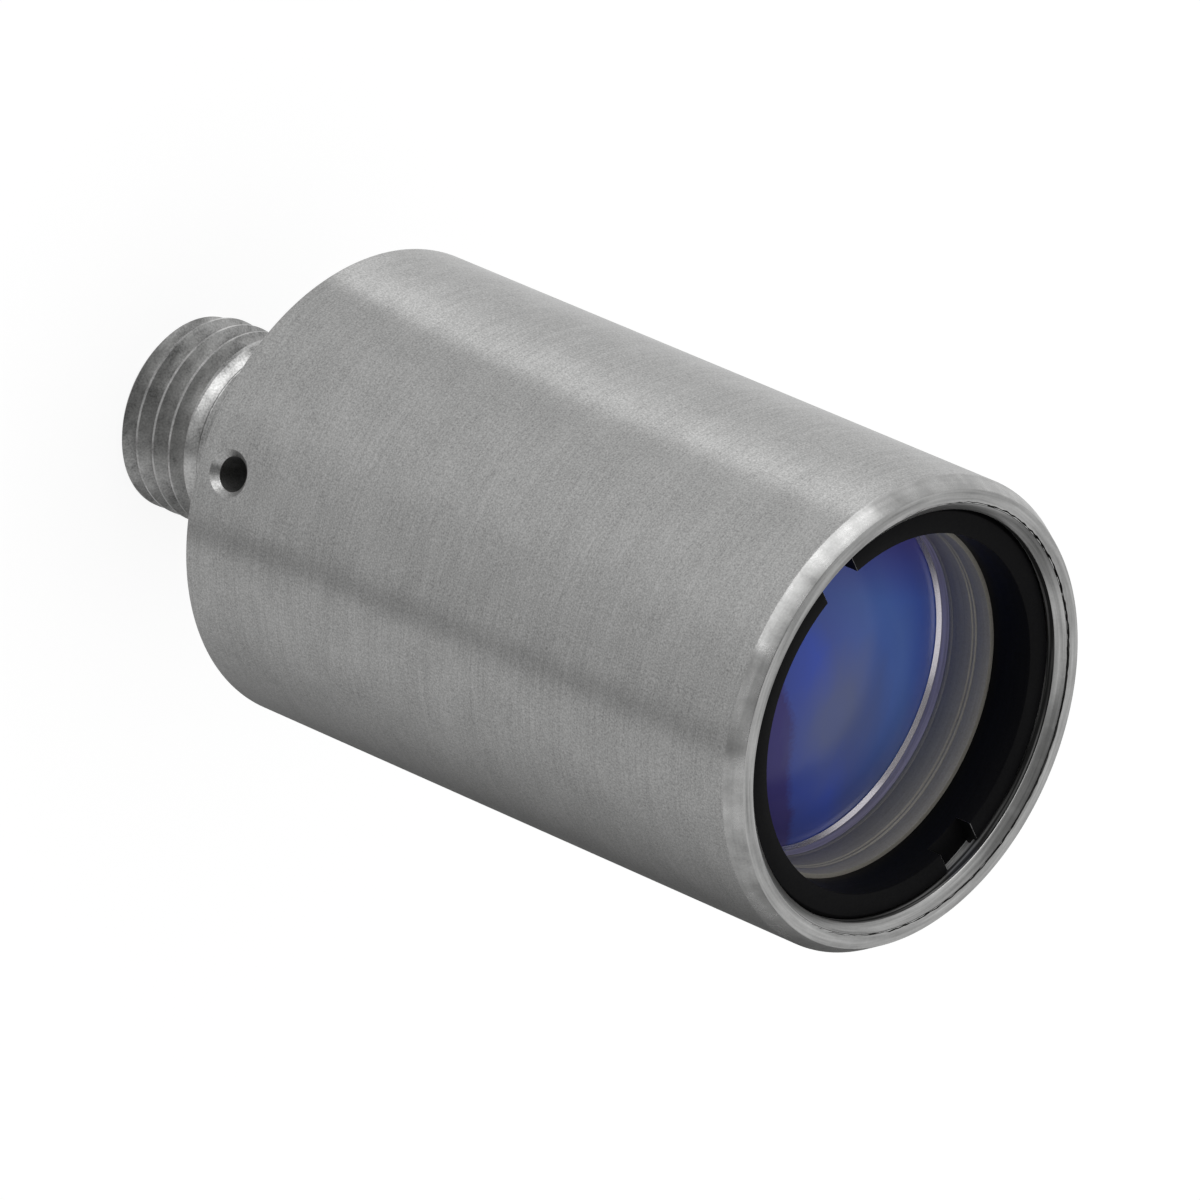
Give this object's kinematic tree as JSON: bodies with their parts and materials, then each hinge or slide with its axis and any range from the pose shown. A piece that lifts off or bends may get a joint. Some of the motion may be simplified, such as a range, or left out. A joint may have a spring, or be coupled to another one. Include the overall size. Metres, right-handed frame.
{
  "type": "fiber collimator",
  "caption": "Slim cylindrical fiber collimator: turned steel barrel with a coated lens behind a slotted black retaining ring, and a threaded fiber connector stub at the rear.",
  "frame": {"origin": "centre of the connector stub's flat end face, on which the part stands", "axes": "+Z along the optical axis, from the fiber connector to the lens end; +X through the locking screw's hole"},
  "size_m": [0.015, 0.015, 0.0309],
  "materials": {
    "barrel_steel": "satin, fine turned lines",
    "connector_steel": "machined thread",
    "shim_steel": "ground",
    "black_screw_steel": "black oxide",
    "black_anodised": "matte black anodised",
    "turned_aluminium": "turned",
    "coated_crown_glass": "blue-violet antireflection coating",
    "flint_glass": "polished",
    "meniscus_glass": "polished, coated"
  },
  "bodies": {
    "root": {"barrel": "barrel_steel", "connector_receptacle": "connector_steel", "focus_shim": "shim_steel", "receptacle_locking_screw": "black_screw_steel", "front_retaining_ring": "black_anodised", "front_spacer_ring": "turned_aluminium", "doublet_crown_lens": "coated_crown_glass", "doublet_flint_lens": "flint_glass", "middle_spacer_ring": "black_anodised", "meniscus_lens": "meniscus_glass", "rear_stop_ring": "black_anodised"}
  },
  "joints": []
}
